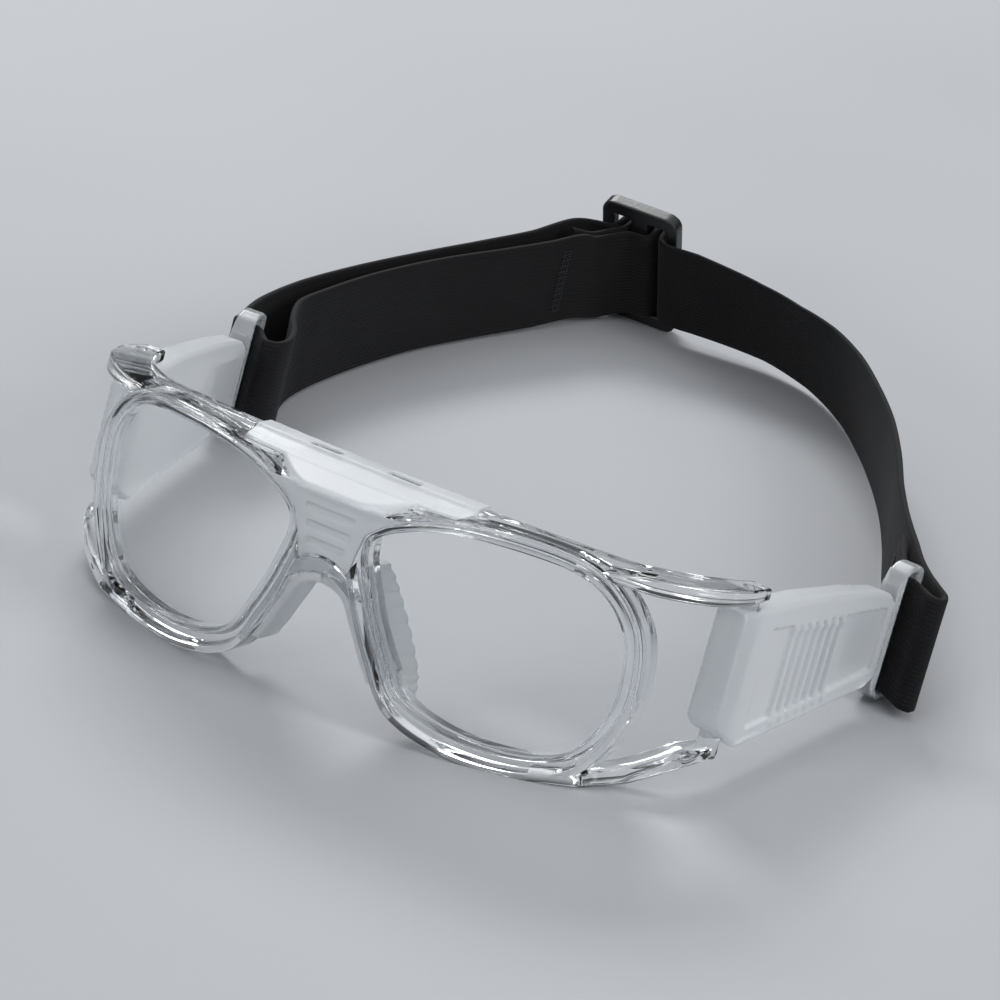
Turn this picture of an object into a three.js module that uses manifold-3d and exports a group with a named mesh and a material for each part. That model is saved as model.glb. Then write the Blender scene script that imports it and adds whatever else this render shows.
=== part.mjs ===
// Sports protective goggles: a clear front frame with two clear lenses, soft silicone bridge cover,
// nose pads and temple sleeves, clear strap brackets, and an elastic head strap with a tri-glide slider.
// Millimetres, +Z up. The goggles rest on a level surface with the front towards -Y and the wearer's
// left side towards +X. The front and the temples are drawn upright and then leaned back together.
import * as THREE from 'three';
import { mergeVertices } from 'three/addons/utils/BufferGeometryUtils.js';
import Module from 'manifold-3d';

const wasm = await Module();
wasm.setup();

// ---- driving dimensions -------------------------------------------------------------------------
const GAP = 0.3; // clearance between pieces that touch
const REST_PITCH = THREE.MathUtils.degToRad(11.2); // the front leans back by this on a level surface
const REST_LIFT = 0.9; // lifts the leaned goggles so that the rims stand on z = 0
const LENS_RADIUS = 117; // wrap of the lenses round the face
const LENS_TILT = 0.221; // the top of each lens stands forward of its bottom, per mm of height
const LENS_MID_Z = 27;
const LENS_FRONT_Y = -0.9;
const LENS_THICK = 1.8;
const LENS_SEAT = 0.95; // how far the lens reaches into the rim groove
const RIM_FRONT = -3.4; // depth of the rim's front edge, measured from the lens surface
const RIM_BACK = 4.2;
const GROOVE_DEPTH = 1.3;
const GROOVE_HALF = 1.25;
const BROW_TOP_Z = 50.9; // top of the brow at the middle
const BROW_DROOP = 1400; // the brow falls by x * x / BROW_DROOP
const BROW_BACK = 10;
const COVER_HALF = 25.5; // half width of the silicone cover
const COVER_WALL = 1.3;
const BAND_DEPTH = 5.6; // the cover's raised band stands this far behind the lens surface
const BAND_FOOT = 2.2; // its foot stands less far back, at this height
const BAND_LOW = 48;
const SADDLE_HALF = 15; // half width of the slope between the band and the plate over the nose
const HINGE = new THREE.Vector2(71.7, 36.4); // axis of each temple's flex, in plan
const POST_RADIUS = 2.2;
const TEMPLE_START = new THREE.Vector2(69.8, 24); // where the temple's length is measured from, in plan
const SLEEVE_START = 7.3; // the sleeve's front edge along the temple
const TEMPLE_SPLAY = Math.atan2(10.5, 69); // the temples open outwards by this
const SLEEVE_END = 68; // the sleeve's back edge along the temple
const SLEEVE_FRONT_HALF = 3.75; // half thickness at the front
const SLEEVE_BACK_HALF = 2.7;
const BRACKET_FRONT = SLEEVE_END + GAP;
const BAR_AT = 76.2; // distance of the strap bar along the temple
const BAR_HALF = 1.4;
const BAR_WIDE_HALF = 2.2;
const STRAP_WIDE = 25;
const STRAP_THICK = 1.5;
const STRAP_MID_Z = 33.9; // height of the strap's middle in the bracket, before leaning
const SLIDER_TILT = THREE.MathUtils.degToRad(20); // the slider leans in over the head space
const SLIDER_CENTRE = new THREE.Vector3(-50.5, 237.5, 16.75);
const SLIDER_SLACK = 1.1; // the strap sits this much below the middle of the slots
const SLIDER_WIDE = 20.5;
const SLIDER_TALL = 34.4;
const SLIDER_THICK = 3.4;
const SLIDER_SLOT = 5;
const SLIDER_MID_BAR = 4.5;

// Half outline of one lens opening in x and z, from the temple side over the top.
const OPENING = [
  [60, 26.5], [58.5, 37.5], [52, 45], [36, 47.2], [19, 44.8], [9.2, 38.5],
  [11.4, 27.4], [16, 17], [20.5, 9.8], [35, 5.6], [52.5, 8.8], [58.6, 18.5],
];

// ---- materials ----------------------------------------------------------------------------------
const finish = (color, roughness, extra = {}) =>
  new THREE.MeshStandardMaterial({ color, roughness, metalness: 0, ...extra });
const clearPlastic = () => finish(0xe6edf0, 0.06, { transparent: true, opacity: 0.45 });
const lensPlastic = () => finish(0xf2f6f8, 0.03, { transparent: true, opacity: 0.2 });
const silicone = () => finish(0xdfe4ea, 0.45, { transparent: true, opacity: 0.85 });
const webbing = () => finish(0x131315, 0.85);
const blackPlastic = () => finish(0x0c0c0e, 0.35);
const thread = () => finish(0x1d1d20, 0.7);

// ---- mesh helpers -------------------------------------------------------------------------------
/** Triangles that fill a flat ring of points, running the same way round as the ring. */
function capTriangles(ring) {
  const normal = new THREE.Vector3();
  ring.forEach((p, i) => {
    const q = ring[(i + 1) % ring.length];
    normal.add(new THREE.Vector3().crossVectors(p, q));
  });
  const dominant = ['x', 'y', 'z'].reduce((a, b) => (Math.abs(normal[b]) > Math.abs(normal[a]) ? b : a));
  const [u, v] = { x: ['y', 'z'], y: ['z', 'x'], z: ['x', 'y'] }[dominant];
  const flat = ring.map((p) => new THREE.Vector2(p[u], p[v]));
  const turn = Math.sign(THREE.ShapeUtils.area(flat));
  return THREE.ShapeUtils.triangulateShape(flat, []).map((face) => {
    const area = THREE.ShapeUtils.area(face.map((k) => flat[k]));
    return Math.sign(area) === turn ? face : [face[0], face[2], face[1]];
  });
}

/** Skins a row of rings, each the same number of points. A closed row joins its last ring to its first. */
function loft(rings, closed = false) {
  const count = rings[0].length;
  const index = [];
  const spans = closed ? rings.length : rings.length - 1;
  for (let i = 0; i < spans; i++) {
    const here = i * count;
    const next = ((i + 1) % rings.length) * count;
    for (let j = 0; j < count; j++) {
      const k = (j + 1) % count;
      index.push(here + j, here + k, next + k, here + j, next + k, next + j);
    }
  }
  if (!closed) {
    const last = (rings.length - 1) * count;
    capTriangles(rings[0]).forEach(([a, b, c]) => index.push(a, c, b));
    capTriangles(rings.at(-1)).forEach(([a, b, c]) => index.push(last + a, last + b, last + c));
  }
  const geometry = new THREE.BufferGeometry().setFromPoints(rings.flat());
  geometry.setIndex(index);
  return facingOut(geometry);
}

/** Turns every face round if the surface encloses a negative volume. */
function facingOut(geometry) {
  const at = geometry.attributes.position;
  const index = geometry.index.array;
  const [a, b, c] = [new THREE.Vector3(), new THREE.Vector3(), new THREE.Vector3()];
  let volume = 0;
  for (let i = 0; i < index.length; i += 3) {
    a.fromBufferAttribute(at, index[i]);
    b.fromBufferAttribute(at, index[i + 1]);
    c.fromBufferAttribute(at, index[i + 2]);
    volume += a.dot(b.cross(c));
  }
  if (volume < 0) {
    for (let i = 0; i < index.length; i += 3) [index[i], index[i + 1]] = [index[i + 1], index[i]];
  }
  return geometry;
}

function toSolid(geometry) {
  const bare = geometry.clone();
  bare.deleteAttribute('normal');
  bare.deleteAttribute('uv');
  const merged = mergeVertices(bare, 1e-4);
  return new wasm.Manifold(new wasm.Mesh({
    numProp: 3,
    vertProperties: new Float32Array(merged.attributes.position.array),
    triVerts: new Uint32Array(merged.index.array),
  }));
}

function toGeometry(solid) {
  const mesh = solid.getMesh();
  const geometry = new THREE.BufferGeometry();
  geometry.setAttribute('position', new THREE.BufferAttribute(new Float32Array(mesh.vertProperties), 3));
  geometry.setIndex(new THREE.BufferAttribute(new Uint32Array(mesh.triVerts), 1));
  geometry.computeVertexNormals();
  return geometry;
}

const join = (...geometries) =>
  toGeometry(geometries.map(toSolid).reduce((whole, part) => whole.add(part)));
const cut = (geometry, ...tools) =>
  toGeometry(tools.map(toSolid).reduce((whole, tool) => whole.subtract(tool), toSolid(geometry)));

/** A box between two corners. */
function block(x0, x1, y0, y1, z0, z1) {
  const box = new THREE.BoxGeometry(x1 - x0, y1 - y0, z1 - z0);
  return box.translate((x0 + x1) / 2, (y0 + y1) / 2, (z0 + z1) / 2);
}

/** The mirror image of a shape across the middle of the face. */
function mirrored(geometry) {
  const copy = geometry.clone().scale(-1, 1, 1);
  const index = copy.index.array;
  for (let i = 0; i < index.length; i += 3) [index[i], index[i + 1]] = [index[i + 1], index[i]];
  return copy;
}

const steps = (from, to, count) =>
  Array.from({ length: count + 1 }, (_, i) => from + ((to - from) * i) / count);
const mix = THREE.MathUtils.lerp;

/** Straight-line interpolation through a table of [at, value] rows. */
function along(rows, at) {
  const i = Math.max(1, rows.findIndex((row) => row[0] >= at));
  if (at >= rows.at(-1)[0]) return rows.at(-1)[1];
  const [[a, va], [b, vb]] = [rows[i - 1], rows[i]];
  return mix(va, vb, THREE.MathUtils.clamp((at - a) / (b - a), 0, 1));
}

// ---- front --------------------------------------------------------------------------------------
/** Depth of the lens surface at a place on the front. */
const lensY = (x, z) => LENS_FRONT_Y + (x * x) / (2 * LENS_RADIUS) - LENS_TILT * (z - LENS_MID_Z);
const onFront = (x, z, depth) => new THREE.Vector3(x, lensY(x, z) + depth, z);

/** The lens opening as [point, outward normal] pairs, on the wearer's left. */
function openingEdge(count) {
  const curve = new THREE.CatmullRomCurve3(
    OPENING.map(([x, z]) => new THREE.Vector3(x, 0, z)), true, 'centripetal');
  return steps(0, 1, count).slice(0, count).map((t) => {
    const point = curve.getPointAt(t);
    const tangent = curve.getTangentAt(t);
    return { x: point.x, z: point.z, nx: tangent.z, nz: -tangent.x };
  });
}

/** How wide the rim is where its outward normal points a given way. */
const rimWidth = (nx, nz) =>
  4.3 - 0.9 * Math.max(0, nx) ** 2 + 1.1 * Math.max(0, -nz) ** 2 - 1 * Math.max(0, nz) ** 2;

/** One rim: a ring with a lens groove inside and a channel between two lips in front. */
function rim() {
  const rings = openingEdge(56).map(({ x, z, nx, nz }) => {
    const wide = rimWidth(nx, nz);
    const section = [
      [0, -2.6], [1.0, -2.6], [1.5, -1.9], [wide * 0.62, -1.9], [wide * 0.72, RIM_FRONT], [wide, RIM_FRONT],
      [wide, RIM_BACK], [0, RIM_BACK], [0, GROOVE_HALF], [GROOVE_DEPTH, GROOVE_HALF],
      [GROOVE_DEPTH, -GROOVE_HALF], [0, -GROOVE_HALF],
    ];
    return section.map(([out, depth]) => onFront(x + nx * out, z + nz * out, depth));
  });
  return loft(rings, true);
}

/** One lens: a curved plate whose edge sits in the rim groove. */
function lens() {
  const edge = openingEdge(56);
  const middle = { x: 35, z: 27 };
  const layer = (share, depth) => edge.map(({ x, z, nx, nz }) => onFront(
    mix(middle.x, x + nx * LENS_SEAT, share), mix(middle.z, z + nz * LENS_SEAT, share), depth));
  const shares = [0.1, 0.4, 0.7, 1];
  const front = shares.map((share) => layer(share, -LENS_THICK / 2));
  const back = shares.map((share) => layer(share, LENS_THICK / 2)).reverse();
  return loft([...front, ...back]);
}

const browTop = (x) => BROW_TOP_Z - (x * x) / BROW_DROOP;
const browY = (x, depth) => lensY(x, 48) + depth;

/** The brow shelf: a deep stepped ledge over both lenses. */
function brow() {
  const rings = steps(-57, 57, 38).map((x) => {
    const top = browTop(x);
    const deep = 1.6 * THREE.MathUtils.clamp((32 - Math.abs(x)) / 6, 0, 1);
    const section = [
      [-1, -1.3 - deep], [-1, -0.9], [5.4, -0.9], [6.2, 0], [BROW_BACK, 0],
      [BROW_BACK, -3.6 - deep], [7.5, -4.2 - deep], [3.6, -3 - deep], [3, -1.3 - deep],
    ];
    return section.map(([depth, rise]) => new THREE.Vector3(x, browY(x, depth), top + rise));
  });
  return loft(rings);
}

/** The web between the rims over the nose, with an arched underside. */
function noseWeb() {
  const half = 7.3;
  const rings = steps(-half, half, 12).map((x) => {
    const low = 29.4 - 3.2 * (x / half) ** 2;
    const high = browTop(x) - 1.2;
    return [[low, -1.4], [high, -1.4], [high, RIM_BACK], [low, RIM_BACK]]
      .map(([z, depth]) => onFront(x, z, depth));
  });
  return loft(rings);
}

/** The clear lip that follows the arch over the nose. */
function noseArch(spare) {
  const half = 8.4;
  const rings = steps(-half, half, 14).map((x) => {
    const low = 29.2 - spare - 4.6 * (x / half) ** 2;
    const high = low + 3.2 + 2 * spare;
    return [[low, RIM_FRONT - spare], [high, RIM_FRONT - spare], [high, RIM_BACK], [low, RIM_BACK]]
      .map(([z, depth]) => onFront(x, z, depth));
  });
  return loft(rings);
}

/** A tapering arm with a four-sided section, from rows of [x, y, half width, low z, high z]. */
function arm(rows) {
  const path = new THREE.CatmullRomCurve3(rows.map(([x, y]) => new THREE.Vector3(x, y, 0)));
  const at = rows.map((_, i) => i / (rows.length - 1));
  const value = (k, t) => along(rows.map((row, i) => [at[i], row[k]]), t);
  const rings = steps(0, 1, 12).map((t) => {
    const p = path.getPoint(t);
    const tangent = path.getTangent(t);
    const [nx, ny] = [tangent.y, -tangent.x];
    const [half, low, high] = [value(2, t), value(3, t), value(4, t)];
    const bevel = 0.6;
    return [
      [-half, low], [half, low], [half, high - bevel], [half - bevel, high], [bevel - half, high],
      [-half, high - bevel],
    ].map(([side, z]) => new THREE.Vector3(p.x + nx * side, p.y + ny * side, z));
  });
  return loft(rings);
}

/** Where the brow sweeps back over the sleeve. */
const upperHorn = () => arm([
  [52, 10.6, 5.4, 46.6, 49],
  [60, 15.6, 5.2, 45.2, 48.9],
  [66.6, 22.4, 4.7, 45, 48.7],
  [70.4, 31, 3.9, 45, 48.3],
  [71.9, 40.4, 2.5, 45, 47.6],
]);

/** Where the lower rim sweeps back under the sleeve. */
const lowerHorn = () => arm([
  [46, 13.6, 3.4, 0.6, 4.6],
  [55, 17.4, 3.6, 2.2, 6.4],
  [62.4, 22.6, 3.4, 5.2, 9.8],
  [68.6, 29.4, 3.2, 9.8, 14.2],
  [71.7, 37.6, 2.5, 12, 14.9],
]);

/** The upright that the sleeve turns on, between the two horns. */
const hingePost = () => {
  const post = new THREE.CylinderGeometry(POST_RADIUS, POST_RADIUS, 34, 20).rotateX(Math.PI / 2);
  return post.translate(HINGE.x, HINGE.y, 29);
};

/**
 * The space that the silicone cover fills round the brow, wider all round by `spare`.
 * Its front lies at the given depth.
 */
function coverSpace(spare, front = RIM_FRONT + 0.6) {
  const half = COVER_HALF + spare;
  const shelf = loft(steps(-half, half, 16).map((x) => {
    const top = browTop(x) + 0.4 + spare;
    const back = BROW_BACK + COVER_WALL + GAP + spare;
    return [
      [BAND_FOOT - spare, BAND_LOW - spare], [BAND_FOOT - spare, BAND_LOW + 0.8],
      [BAND_DEPTH - spare, top - 0.7], [BAND_DEPTH + 0.6 - spare, top], [back, top], [back, 46 - spare],
    ].map(([depth, z]) => new THREE.Vector3(x, browY(x, depth), z));
  }));
  const reach = SADDLE_HALF + spare;
  const saddle = loft(steps(-reach, reach, 10).map((x) => [
    [front, 45], [front, 46.4 + spare], [BAND_FOOT + 0.2, BAND_LOW + 0.8 + spare],
    [BAND_FOOT + 1.2, BAND_LOW + 0.8 + spare], [BAND_FOOT + 1.2, 45],
  ].map(([depth, z]) => new THREE.Vector3(x, browY(x, depth), z))));
  const wing = [[29.5, 5.4], [34.4, 6.4], [37, 7.1], [40, 8.0], [43, 11.5], [45.5, 16]];
  const plate = loft(steps(29.5, 45.5, 14).map((z) => {
    const wide = along(wing, z) + spare;
    const fall = z < 37 ? spare : 0;
    return steps(-wide, wide, 10).map((x) => onFront(x, z - fall, front))
      .concat(steps(wide, -wide, 10).map((x) => onFront(x, z - fall, -0.5)));
  }));
  return join(shelf, saddle, plate);
}

/** The space above the foot of the cover's band, which no clear plastic fills. */
const clearOfCover = () => loft(steps(-COVER_HALF - GAP, COVER_HALF + GAP, 34).map((x) => {
  const low = BAND_LOW + (Math.abs(x) < SADDLE_HALF ? -0.8 : 0.3);
  return [[-8, low], [-8, 58], [BAND_DEPTH, 58], [BAND_DEPTH, BAND_LOW + 2.4], [BAND_FOOT, low]]
    .map(([depth, z]) => new THREE.Vector3(x, browY(x, depth), z));
}));

/** What stays clear plastic inside the cover, narrower all round by `inset`. */
function coverCore(inset) {
  return join(
    loft(steps(-29, 29, 16).map((x) => {
      const top = browTop(x) - 1.2;
      return [
        [-1.4, 44], [-1.4, 45.2], [2.8, 47.2], [3.8, 47.4], [6.9, top], [BROW_BACK - 2 * inset, top],
        [BROW_BACK - 2 * inset, 44],
      ].map(([depth, z]) => new THREE.Vector3(x, browY(x, depth + inset) + 0.2, z > 44 ? z - inset : z));
    })),
    loft(steps(-29, 29, 16).map((x) => [[24, -1.7], [45, -1.7], [45, 8], [24, 8]]
      .map(([z, depth]) => onFront(x, z, depth + inset)))),
  );
}

const TAB_X = 9;
/** Locking tabs of the brow that show through slots in the cover. */
const coverTab = (x, spare) => block(
  x - 3.2 - spare, x + 3.2 + spare,
  browY(x, 7.2) - spare, browY(x, 9.2) + spare,
  browTop(x) - 3, browTop(x) + (spare ? 3 : 0));

/** A large cutter that trims everything below the resting surface, in the goggles' own frame. */
function floorTrim(height) {
  const slab = block(-120, 120, -60, 160, -40, 0);
  slab.translate(0, 0, height - REST_LIFT);
  return slab.rotateX(REST_PITCH);
}

function frontFrame() {
  const half = join(rim(), upperHorn(), lowerHorn(), hingePost());
  const body = join(half, mirrored(half), brow(), noseWeb(), noseArch(0));
  const jacket = cut(coverSpace(GAP, -8), coverCore(GAP), noseArch(0));
  return cut(
    join(cut(body, jacket, clearOfCover()), coverTab(TAB_X, 0), coverTab(-TAB_X, 0)), floorTrim(0));
}

function bridgeCover() {
  const skin = cut(coverSpace(0), coverCore(0), noseArch(GAP));
  return cut(skin, coverTab(TAB_X, GAP), coverTab(-TAB_X, GAP));
}

/** One nose pad: a serrated leaf behind the rim and a lining that wraps under the arch to the middle. */
function nosePad() {
  const curve = (places) => new THREE.CatmullRomCurve3(places.map(([x, z]) => new THREE.Vector3(x, 0, z)));
  const line = curve([[7.4, 33.5], [9, 27.5], [12, 20], [15.4, 12.8], [17.6, 8]]);
  const leaf = loft(steps(0, 1, 20).map((t) => {
    const p = line.getPoint(t);
    const wide = Math.sin(Math.PI * (0.1 + 0.84 * t)) ** 0.7;
    const front = RIM_BACK + GAP;
    const back = front + 1.8 + 5.6 * wide;
    const serrate = 0.35 * Math.cos(t * 20 * Math.PI);
    return [[-1.2, front], [1.3, front], [1.3 + wide + serrate, back], [wide - 0.6, back]]
      .map(([side, depth]) => onFront(p.x + side, p.z, depth));
  }));
  const under = curve([
    [0.15, 29.2], [3, 28.55], [5.4, 27.25], [7, 25.4],
    [8.4, 22.4], [10.1, 18.8], [12, 14.6], [14.2, 10.6],
  ]);
  const lining = loft(steps(0, 1, 18).map((t) => {
    const p = under.getPoint(t);
    const tangent = under.getTangent(t);
    const slim = 1 - 0.3 * t;
    return [
      [0.4, -2.2], [2.3 * slim, -1.8], [2.8 * slim, 0], [2.8 * slim, 6], [1.8 * slim, 7.6], [-2.6, 7.6],
      [-2.6, RIM_BACK + GAP], [0.4, RIM_BACK + GAP],
    ].map(([out, depth]) => {
      const x = Math.max(0.15, p.x + tangent.z * out);
      return onFront(x, p.z - tangent.x * out, depth);
    });
  }));
  return join(leaf, lining);
}

// ---- temples ------------------------------------------------------------------------------------
// A temple is drawn along its own length `a`, outwards `t` and up `z`, and placed by templePoint.
const templeAxis = new THREE.Vector2(Math.sin(TEMPLE_SPLAY), Math.cos(TEMPLE_SPLAY));
const templePoint = (a, t, z) => new THREE.Vector3(
  TEMPLE_START.x + templeAxis.x * a + templeAxis.y * t,
  TEMPLE_START.y + templeAxis.y * a - templeAxis.x * t, z);

const SLEEVE_TOP = [
  [SLEEVE_START, 43.4], [18, 44], [30, 44.9], [50, 44.7], [62, 43.9], [66, 43], [SLEEVE_END, 41.6],
];
const SLEEVE_LOW = [[SLEEVE_START, 19.6], [8.5, 18.2], [18, 14], [65, 22.1], [SLEEVE_END, 24]];
const sleeveHalf = (a) => mix(SLEEVE_FRONT_HALF, SLEEVE_BACK_HALF, a / SLEEVE_END);

/** A box in temple directions. */
const templeBox = (a0, a1, t0, t1, z0, z1) => loft([a0, a1].map((a) =>
  [[t0, z0], [t1, z0], [t1, z1], [t0, z1]].map(([t, z]) => templePoint(a, t, z))));

/** The soft sleeve, with a thin ribbed panel outside and a pocket for the bracket behind. */
function sleeve() {
  const stations = [SLEEVE_START, 8.5, 11, 14, 18, 24, 30, 36, 43, 50, 56, 62, 65, 66.5, SLEEVE_END];
  const body = loft(stations.map((a) => {
    const [low, top, half] = [along(SLEEVE_LOW, a), along(SLEEVE_TOP, a), sleeveHalf(a)];
    const bevel = 0.7;
    return [
      [-half, low + bevel], [bevel - half, low], [half - bevel, low], [half, low + bevel],
      [half, top - bevel], [half - bevel, top], [bevel - half, top], [-half, top - bevel],
    ].map(([t, z]) => templePoint(a, t, z));
  }));
  const panel = loft([19, 65.5].map((a) => {
    const low = along(SLEEVE_LOW, a) + 4;
    const high = 38.8 + a * 0.02;
    const floor = sleeveHalf(a) - 1.1;
    return [[floor, low], [5, low], [5, high], [floor, high]].map(([t, z]) => templePoint(a, t, z));
  }));
  const ribs = steps(0, 6, 6).map((k) => {
    const a = 29 + k * 3.1;
    const low = along(SLEEVE_LOW, a) + 4.5;
    return templeBox(a - 1.1, a + 1.1, 1.2, sleeveHalf(a) - 0.2, low, 38.4);
  });
  const bore = new THREE.CylinderGeometry(POST_RADIUS + 0.35, POST_RADIUS + 0.35, 50, 20)
    .rotateX(Math.PI / 2).translate(HINGE.x, HINGE.y, 30);
  const pocket = templeBox(54 - GAP, SLEEVE_END + 2, -0.8 - GAP, 0.8 + GAP, 27.5 - GAP, 39.5 + GAP);
  return cut(join(cut(body, panel), ...ribs), bore, pocket);
}

/** The clear strap bracket: a tongue in the sleeve, an upright strip, two arched ears and a strap bar. */
function bracket() {
  const outline = new THREE.Shape([
    [BRACKET_FRONT, 22.2], [70, 20.2], [72.6, 18.9], [75.2, 18.8], [77, 19.8], [77.6, 21.4],
    [77.6, 46.1], [77, 47.6], [75.2, 48.5], [72.6, 48.4], [70, 47], [BRACKET_FRONT, 44],
  ].map(([a, z]) => new THREE.Vector2(a, z)));
  const slotEnd = BAR_AT - BAR_HALF;
  const slot = [[71.2, 21.4], [72.2, 20.3], [slotEnd, 20.3], [slotEnd, 47], [72.2, 47], [71.2, 45.9]];
  outline.holes.push(new THREE.Path(slot.map(([a, z]) => new THREE.Vector2(a, z))));
  const half = BAR_WIDE_HALF;
  const plate = new THREE.ExtrudeGeometry(outline, { depth: 2 * half, bevelEnabled: false });
  const at = plate.attributes.position;
  for (let i = 0; i < at.count; i++) {
    const p = templePoint(at.getX(i), half - at.getZ(i), at.getY(i));
    at.setXYZ(i, p.x, p.y, p.z);
  }
  const merged = facingOut(mergeVertices(bareGeometry(plate), 1e-4));
  const tongue = templeBox(54, 70.5, -0.8, 0.8, 27.5, 39.5);
  return cut(join(merged, tongue), floorTrim(0.25));
}

function bareGeometry(geometry) {
  const bare = geometry.clone();
  bare.deleteAttribute('normal');
  bare.deleteAttribute('uv');
  return bare;
}

// ---- head strap ---------------------------------------------------------------------------------
const sliderUp = new THREE.Vector3(0, -Math.sin(SLIDER_TILT), Math.cos(SLIDER_TILT));
const sliderBack = new THREE.Vector3(0, Math.cos(SLIDER_TILT), Math.sin(SLIDER_TILT));
/** A point of the strap near the slider: `u` along it and `v` behind the slider's middle plane. */
function strapBySlider(u, v) {
  const p = SLIDER_CENTRE.clone().addScaledVector(sliderBack, v).addScaledVector(sliderUp, -SLIDER_SLACK);
  return [p.x + u, p.y, p.z, -Math.tan(SLIDER_TILT), 0];
}

// The strap's middle line as stretches of [x, y, z, lean, tilt], from the tail sewn on the wearer's
// left, round that bar, across the back, through the slider, round the right bar and back to the
// slider. Lean moves the strap's top back along y and tilt moves it to the strap's left, per mm of height.
const LEFT_LOOP = [
  [70.9, 124, 13.4, 0.08, 0], [73.1, 118.8, 13.7, 0.1, 0], [75.2, 113.6, 14.1, 0.15, 0],
  [77.2, 108.8, 14.4, 0.2, 0], [77.8, 104.8, 14.8, 0.2, 0], [77.9, 102.1, 15, 0.2, 0],
  [79.6, 100.8, 15, 0.2, 0], [82.4, 100.9, 15, 0.2, 0], [86, 99.4, 14.5, 0.2, 0],
  [89.2, 97.5, 14.4, 0.2, 0], [91.2, 97.9, 14.3, 0.2, 0], [90.6, 100.6, 14.2, 0.2, 0],
  [87.4, 104.2, 14.2, 0.18, 0], [83.2, 109, 14.1, 0.15, 0], [79, 114.8, 14, 0.12, 0],
];
const BACK_RUN = [
  [75, 121.4, 13.9, 0.1, 0], [67.2, 134.8, 13.6, 0.05, 0.02], [59.6, 149.8, 13.3, 0, 0.05],
  [51.2, 167.4, 13, 0, 0.08], [42.2, 183.8, 12.9, 0, 0.11], [32.6, 198.2, 12.9, 0, 0.15],
  [21.4, 212.8, 12.8, 0, 0.19], [9.8, 224.6, 12.7, 0, 0.28], [-2.6, 232.4, 12.9, -0.12, 0.3],
  [-15.4, 235.8, 13.8, -0.34, 0.12],
];
const WEAVE = [
  strapBySlider(17, -2.6), strapBySlider(11.5, -2.95), strapBySlider(8.2, -2.9), strapBySlider(6.5, -2.2),
  strapBySlider(5.8, -0.4), strapBySlider(5.6, 1.4), strapBySlider(4.6, 3.8), strapBySlider(2, 4.7),
  strapBySlider(-2, 4.7), strapBySlider(-4.6, 3.8), strapBySlider(-5.6, 1.4), strapBySlider(-5.8, -0.4),
  strapBySlider(-6.5, -2.2), strapBySlider(-8.2, -2.9), strapBySlider(-11.6, -3.6),
];
const RIGHT_OUTER = [
  [-66.2, 229.8, 14.2, -0.2, 0.08], [-71.2, 213.6, 13.1, 0, 0.18], [-76.9, 194.6, 12.9, 0, 0.17],
  [-82, 175.6, 12.9, 0, 0.13], [-86.2, 156, 13, 0, 0.08], [-88.6, 136, 13.3, 0.03, 0.03],
];
const RIGHT_LOOP = [
  [-88, 119, 13.9, 0.1, 0], [-86.2, 108.6, 14.4, 0.2, 0], [-85, 104, 14.6, 0.2, 0],
  [-84.4, 101.4, 15, 0.2, 0], [-81.4, 100.8, 15, 0.2, 0], [-78.2, 100.6, 15, 0.2, 0],
  [-76, 98.8, 14.5, 0.2, 0], [-73.7, 97, 14.4, 0.2, 0], [-71.6, 98, 14.3, 0.2, 0],
  [-71, 102.2, 14.1, 0.18, 0], [-73.4, 108.6, 13.8, 0.15, 0], [-78, 116.4, 13.5, 0.1, 0],
];
const RIGHT_INNER = [
  [-82.2, 127, 13.2, 0.05, 0], [-82.7, 138.5, 13, 0, -0.05], [-80.8, 158, 12.9, 0, -0.09],
  [-76.3, 179, 12.9, 0, -0.15], [-70.3, 196.6, 12.9, 0, -0.18], [-64.4, 212, 13.2, -0.05, -0.16],
  [-60.2, 222.4, 14, -0.2, -0.1],
];
const SEWN_END = [
  strapBySlider(-7.4, -8.6), strapBySlider(-4.2, -5.2), strapBySlider(-1.6, -3.2),
  strapBySlider(1.6, -2.85), strapBySlider(3.1, -2.1), strapBySlider(3.4, 0), strapBySlider(3.1, 2.1),
  strapBySlider(1.6, 2.85), strapBySlider(-1.6, 2.85), strapBySlider(-3.1, 2.1), strapBySlider(-3.4, 0),
  strapBySlider(-3.9, -1.9), strapBySlider(-5.8, -4), strapBySlider(-9.3, -7.8),
  [-62.1, 223.8, 14, -0.24, -0.08],
];
const STRAP_LISTS = [LEFT_LOOP, BACK_RUN, WEAVE, RIGHT_OUTER, RIGHT_LOOP, RIGHT_INNER, SEWN_END];
const STRAP = STRAP_LISTS.flat();
const strapLine = new THREE.CatmullRomCurve3(
  STRAP.map(([x, y, z]) => new THREE.Vector3(x, y, z)), false, 'centripetal');
const strapShare = (list, k) => {
  const before = STRAP_LISTS.slice(0, STRAP_LISTS.indexOf(list)).flat().length;
  return (before + k) / (STRAP.length - 1);
};

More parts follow.
